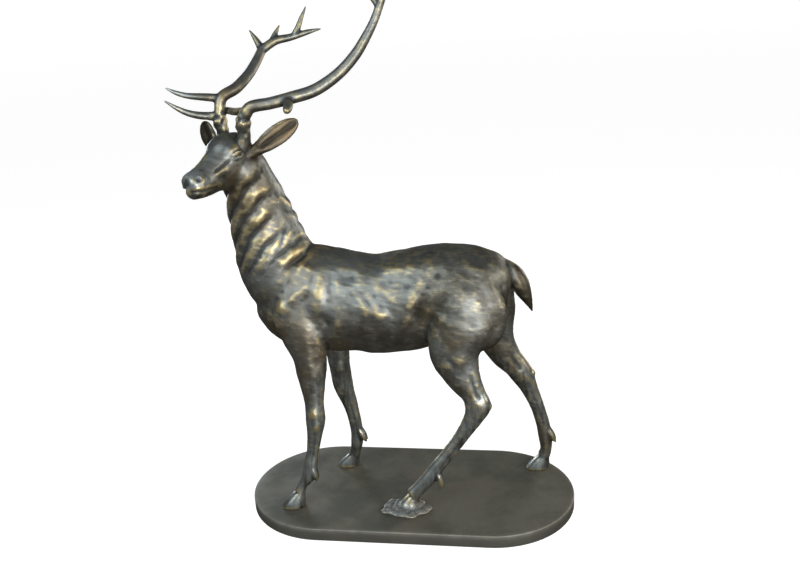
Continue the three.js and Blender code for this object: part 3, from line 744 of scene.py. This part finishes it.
# Which way the skin faces, smoothed: used below to paint the tops lighter and the undersides darker, as
# painted light and shade.
calm = softened(normal, 20)[:, 2]
faces_up, faces_down = ramp(calm, 0.15, 1.0), ramp(-calm, -0.3, 0.55)
legs, antlers = 1 - ramp(tall, 380, 590), ramp(tall, 1240, 1290)

# Painted light laid into the metal's colour, brighter or darker, as places of the left side with a radius
# and a share,
# kept alike on the right: shoulder and its back edge, hip, ribs, thigh and neck, painted highlights except
# the hip's painted shade. Whole parts of the animal follow.
PAINTED_LIGHT_SPOTS = [([-300, -120, 730], 95, 0.4), ([-235, -120, 770], 60, 0.2), ([150, -110, 760], 120, -0.28),
          ([-40, -125, 735], 60, 0.1), ([210, -118, 735], 50, 0.08), ([-400, -95, 960], 130, 0.18)]
MUZZLE, TINE_HEIGHTS = on_head(138, 0, -35), (1320, 1365)
left_side = np.abs(points) * [0, 1, 0] * -1 + points * [1, 0, 1]
# Whole parts: legs and antlers brighter as painted highlights, the lowest part and the head's top a little
# darker.
bright = 0.34 + 0.43 * legs + 0.22 * antlers
bright += 0.12 * ramp(tall, 60, 160) * (1 - ramp(tall, 1200, 1260))
bright += sum(share * bell(left_side, at, radius) for at, radius, share in PAINTED_LIGHT_SPOTS)
# Painted highlights: the muzzle and the outer ends of the two left tines are made pale.
bright += 0.9 * bell(points, MUZZLE, 52)
for tine in TINE_HEIGHTS:
    bright += 0.9 * ramp(-along, 545, 620) * np.exp(-((tall - tine) / 40) ** 2)
# Hooves lighter as a painted highlight; croup and tail darker as painted shade.
hooves, croup = 1 - ramp(tall, 80, 130), ramp(along, 200, 300) * ramp(tall, 560, 700)
tail = ramp(along, 340, 360) * ramp(tall, 600, 660)
bright += 0.3 * hooves - 0.12 * croup - 0.3 * tail
# Painted light by facing: tops painted lighter, undersides painted darker.
bright = bright * (1 + 0.65 * faces_up) * (1 - 0.6 * faces_down)
# Painted shade: each ear's root and the hollow of its inner face are darkened.
for base, tip, half, face in EARS:
    ear_run = np.array(tip) - base
    rel = points / MM - base
    share = np.clip(rel @ ear_run / np.sum(ear_run ** 2), 0.1, 0.9)
    off = np.linalg.norm(rel - share[:, None] * ear_run, axis=1)
    inner = ramp(normal @ unit(np.array(face)), 0.3, 0.8)
    bright -= 0.5 * bell(points, base, 34)
    bright -= inner * (1 - ramp(off, 0.5 * half, 0.85 * half))

# Golden metal where the brown has worn through, as places with a radius and a share: chest, neck,
# shoulder, loin, ribs, stifle, hip, knee, gaskin and hocks, then spots of lip corner, jaw and brow.
GILT = [([-344, -120, 722], 42, 0.8), ([-364, -110, 672], 46, 0.7), ([-400, -95, 960], 120, 0.1),
        ([-225, -112, 770], 45, 0.6), ([20, -80, 826], 85, 0.55), ([-60, -128, 705], 70, 0.45),
        ([120, -124, 640], 45, 0.5), ([200, -118, 770], 60, 0.4), ([-276, -110, 368], 40, 0.6),
        ([180, -140, 560], 60, 0.5), ([245, -118, 404], 50, 0.8), ([380, -112, 405], 50, 0.8)]
HEAD_GILT = [([72, 38, -56], 26), ([0, 58, -60], 24), ([-10, 50, 36], 20)]
gilt = 0.1 - 0.7 * ramp(tall, 1090, 1150) + 0.5 * faces_up * trunk
gilt += sum(share * bell(left_side, at, radius) for at, radius, share in GILT)
for (forward, left, up), radius in HEAD_GILT:
    for side in (-1, 1):
        gilt += 0.7 * bell(points, on_head(forward, side * left, up), radius)
gilt += 0.35 * burrs + 1.15 * antlers + 0.45 * legs
for root, tip in DEWCLAWS:
    gilt -= 1.6 * bell(points, (np.array(root) + tip) / 2, 36)
joined.polygons.foreach_set("use_smooth", np.ones(len(joined.polygons), bool))
dense = bpy.data.objects.new("stag_dense", joined)
bpy.context.scene.collection.objects.link(dense)
point_values(dense, "crest", np.clip(crest, -3, 3))
# The painted highlights and painted shade, kept for the material.
point_values(dense, "bright", bright)
point_values(dense, "gilt", np.clip(gilt, -1, 1))
point_values(dense, "slag", slag)
thin = dense.modifiers.new("thin", "DECIMATE")
thin.ratio = min(1.0, FINISHED_TRIANGLES / (2 * len(joined.polygons)))
cast = bpy.data.meshes.new_from_object(dense.evaluated_get(bpy.context.evaluated_depsgraph_get()))
bpy.data.objects.remove(dense)
cast.polygons.foreach_set("use_smooth", np.ones(len(cast.polygons), bool))
stag = bpy.data.objects.new("stag_casting", cast)
bpy.context.scene.collection.objects.link(stag)

# Finish of the stag: brown-black patina, turned to blue grey and pale as painted sheen and painted
# highlights where the painted light is high, and worn to gold on the crests. Earth, darkening in the
# hollows, and dull slag with bright specks lie over it.
# The blue grey and pale tones are painted sheen and painted highlight, and the dark tone carries the
# painted shade.
PATINA = dict(
    dark=(0.056, 0.044, 0.026, 1), worn=(0.226, 0.240, 0.226, 1), pale=(0.46, 0.49, 0.475, 1),
    earth=(0.120, 0.083, 0.040, 1), gold=(0.46, 0.365, 0.175, 1), darker_in_hollows=(0.018, 0.016, 0.012, 1),
    slag=(0.038, 0.038, 0.032, 1), spark=(0.42, 0.41, 0.38, 1))
bronze, shader, place = new_finish("patinated_bronze_rubbed_and_painted_light")
crest, weld = place.kept("crest"), place.kept("slag")
cloud = grain(place, 9.0, 5.0)
mottle = grain(place, 34.0, 5.0, 0.6)
hair = grain(place, 190.0, 4.0, 0.65, stretch=(0.2, 1, 1), turn=(0, 0.5, 0))
leg = 1 - place.node("ShaderNodeSeparateXYZ", s0=place, out=2).between(0.36, 0.60)
# Painted highlight: streaks along the legs in place of a satin metal's streaky reflections, in the blue
# grey and in the gold.
painted_leg_streaks = leg * (grain(place, 60.0, 4.0, 0.6, stretch=(1, 1, 0.14)) - 0.5)
# Painted light: the baked highlight and shade values and patina noise set how far the dark patina turns to
# blue grey.
worn = place.kept("bright") + 0.75 * (cloud - 0.5) + 0.6 * (mottle - 0.5) + 0.35 * (hair - 0.5)
worn = worn + 2.2 * painted_leg_streaks
tone = worn.between(-0.1, 1.0).over(PATINA["dark"], PATINA["worn"])
# Painted highlight: the pale tone where the painted light is strongest.
tone = (worn.between(0.95, 1.6) * 0.7).over(tone, PATINA["pale"])
earth = grain(place, 5.0, 4.0).between(0.5, 0.68)
tone = (earth * 0.6).over(tone, PATINA["earth"])
rub = 0.7 * crest + 3.0 * (mottle - 0.5) + 1.6 * (hair - 0.5) + 3.0 * painted_leg_streaks + place.kept("gilt")
rub = rub.between(0.3, 2.3) * worn.between(0.0, 0.6) * (1 - weld)
tone = (rub * 0.8).over(tone, PATINA["gold"])
# Darker in the hollows, where the curvature is low, and less on the weld.
darker_in_hollows = (0.8 * (mottle - 0.5) - crest).between(0.4, 2.6) * (1 - weld)
tone = (darker_in_hollows * 0.7).over(tone, PATINA["darker_in_hollows"])
tone = (weld * 0.85).over(tone, PATINA["slag"])
spark = weld * grain(place, 240.0, 2.0).between(0.56, 0.64)
tone = (spark * 0.5).over(tone, PATINA["spark"])
tone.feeds(shader, "Base Color")
rough = 0.46 + 0.16 * darker_in_hollows - 0.05 * rub + 0.14 * (mottle - 0.5) - 0.10 * leg + 0.2 * weld
rough.feeds(shader, "Roughness")
(0.88 - 0.5 * weld).feeds(shader, "Metallic")
shader.inputs["Coat Weight"].default_value = 0.12
shader.inputs["Coat Roughness"].default_value = 0.32
marks = place.node("ShaderNodeBump", s0=0.22, s1=0.0015, Height=hair * 0.7 + mottle * 0.5)
marks.feeds(shader, "Normal")
stag.data.materials.append(bronze)
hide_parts("stag")
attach(stag, "root")


# Floor and light: a plain pale floor that sweeps up far away all round and isn't mirrored in the metal,
# and a sky with a bright band over the horizon. A broad cool key stands at the front left, a softer
# light at the front right, a warm one at the right, and two low ones behind.
FLOOR = dict(flat=40.0, bend=6.0, wall=10.0, below=0.0005)
flat_run, bend = np.linspace(0.01, FLOOR["flat"], 30), np.linspace(0.1, np.pi / 2, 12)
reach = np.concatenate([flat_run, FLOOR["flat"] + FLOOR["bend"] * np.sin(bend),
                        [FLOOR["flat"] + FLOOR["bend"]]])
rise = np.concatenate([0 * flat_run, FLOOR["bend"] - FLOOR["bend"] * np.cos(bend),
                       [FLOOR["bend"] + FLOOR["wall"]]]) - FLOOR["below"]
turn = np.linspace(0, 2 * np.pi, 96, endpoint=False)
sweep = np.stack([reach[:, None] * np.cos(turn), reach[:, None] * np.sin(turn),
                  rise[:, None] * np.ones_like(turn)], -1).reshape(-1, 3)
floor = mesh_object("floor", sweep, grid_faces(len(reach), len(turn)))
pale, shader, place = new_finish("pale_floor")
shader.inputs["Base Color"].default_value = (0.30, 0.30, 0.30, 1)
shader.inputs["Roughness"].default_value = 0.9
shader.inputs["Specular IOR Level"].default_value = 0.1
shader.inputs["Emission Color"].default_value = (1, 1, 1, 1)
shader.inputs["Emission Strength"].default_value = 0.92
floor.data.materials.append(pale)
floor.visible_glossy = False
sky = bpy.data.worlds.new("studio")
sky.use_nodes = True
background = sky.node_tree.nodes["Background"]
ray = Shade(sky.node_tree, sky.node_tree.nodes.new("ShaderNodeTexCoord").outputs["Generated"])
height = ray.node("ShaderNodeSeparateXYZ", s0=ray, out=2)
band = height.between(-0.75, -0.15) * (1 - height.between(0.10, 0.95))
(0.62 + 1.05 * band).feeds(background, "Strength")
bpy.context.scene.world = sky
bpy.context.scene.view_settings.view_transform = "Standard"


def soft_light(name, at, target, size, power, colour):
    """A square area light that faces its target."""
    lamp = bpy.data.lights.new(name, "AREA")
    lamp.shape, lamp.size, lamp.energy, lamp.color = "SQUARE", size, power, colour
    item = bpy.data.objects.new(name, lamp)
    bpy.context.scene.collection.objects.link(item)
    back = unit(np.array(at) - np.array(target))
    right = unit(np.cross([0, 0, 1], back))
    axes = np.stack([right, np.cross(back, right), back], -1)
    item.matrix_world = Matrix.Translation(at) @ Matrix(axes.tolist()).to_4x4()


soft_light("key", (-1.9, -3.1, 2.7), (-0.1, 0, 0.8), 3.0, 128, (0.80, 0.91, 1.0))
soft_light("front", (1.5, -3.4, 1.1), (0.1, 0, 0.5), 1.8, 140, (0.93, 0.96, 1.0))
soft_light("right", (3.2, -0.9, 1.5), (0.1, 0, 0.6), 1.4, 45, (1.0, 0.95, 0.86))
soft_light("back left", (-2.4, 3.0, 1.2), (0, 0, 0.7), 1.8, 60, (0.90, 0.95, 1.0))
soft_light("back right", (2.4, 3.0, 1.2), (0, 0, 0.6), 1.8, 45, (1.0, 0.97, 0.92))

# Camera: a standing photographer's, at the photograph's place, tilt and lens. The lens is given as the
# focal length in pixels of the frame's width.
FRAME_WIDTH, FOCAL, SHIFT_UP, SENSOR = 800, 900, 3, 36.0
CAMERA_AT = (0.4457, -2.5774, 1.6307)
azimuth, elevation, roll = np.radians([9.814, 18.611, -3.278])
lens = bpy.data.cameras.new("camera")
lens.sensor_width, lens.lens = SENSOR, SENSOR * FOCAL / FRAME_WIDTH
lens.shift_y = SHIFT_UP / FRAME_WIDTH
camera = bpy.data.objects.new("camera", lens)
bpy.context.scene.collection.objects.link(camera)
back = np.array([np.sin(azimuth) * np.cos(elevation), -np.cos(azimuth) * np.cos(elevation),
                 np.sin(elevation)])
right = np.array([np.cos(azimuth), np.sin(azimuth), 0])
up = np.cross(back, right)
right, up = np.cos(roll) * right + np.sin(roll) * up, np.cos(roll) * up - np.sin(roll) * right
view = np.stack([right, up, back], -1)
camera.matrix_world = Matrix.Translation(CAMERA_AT) @ Matrix(view.tolist()).to_4x4()
bpy.context.scene.camera = camera
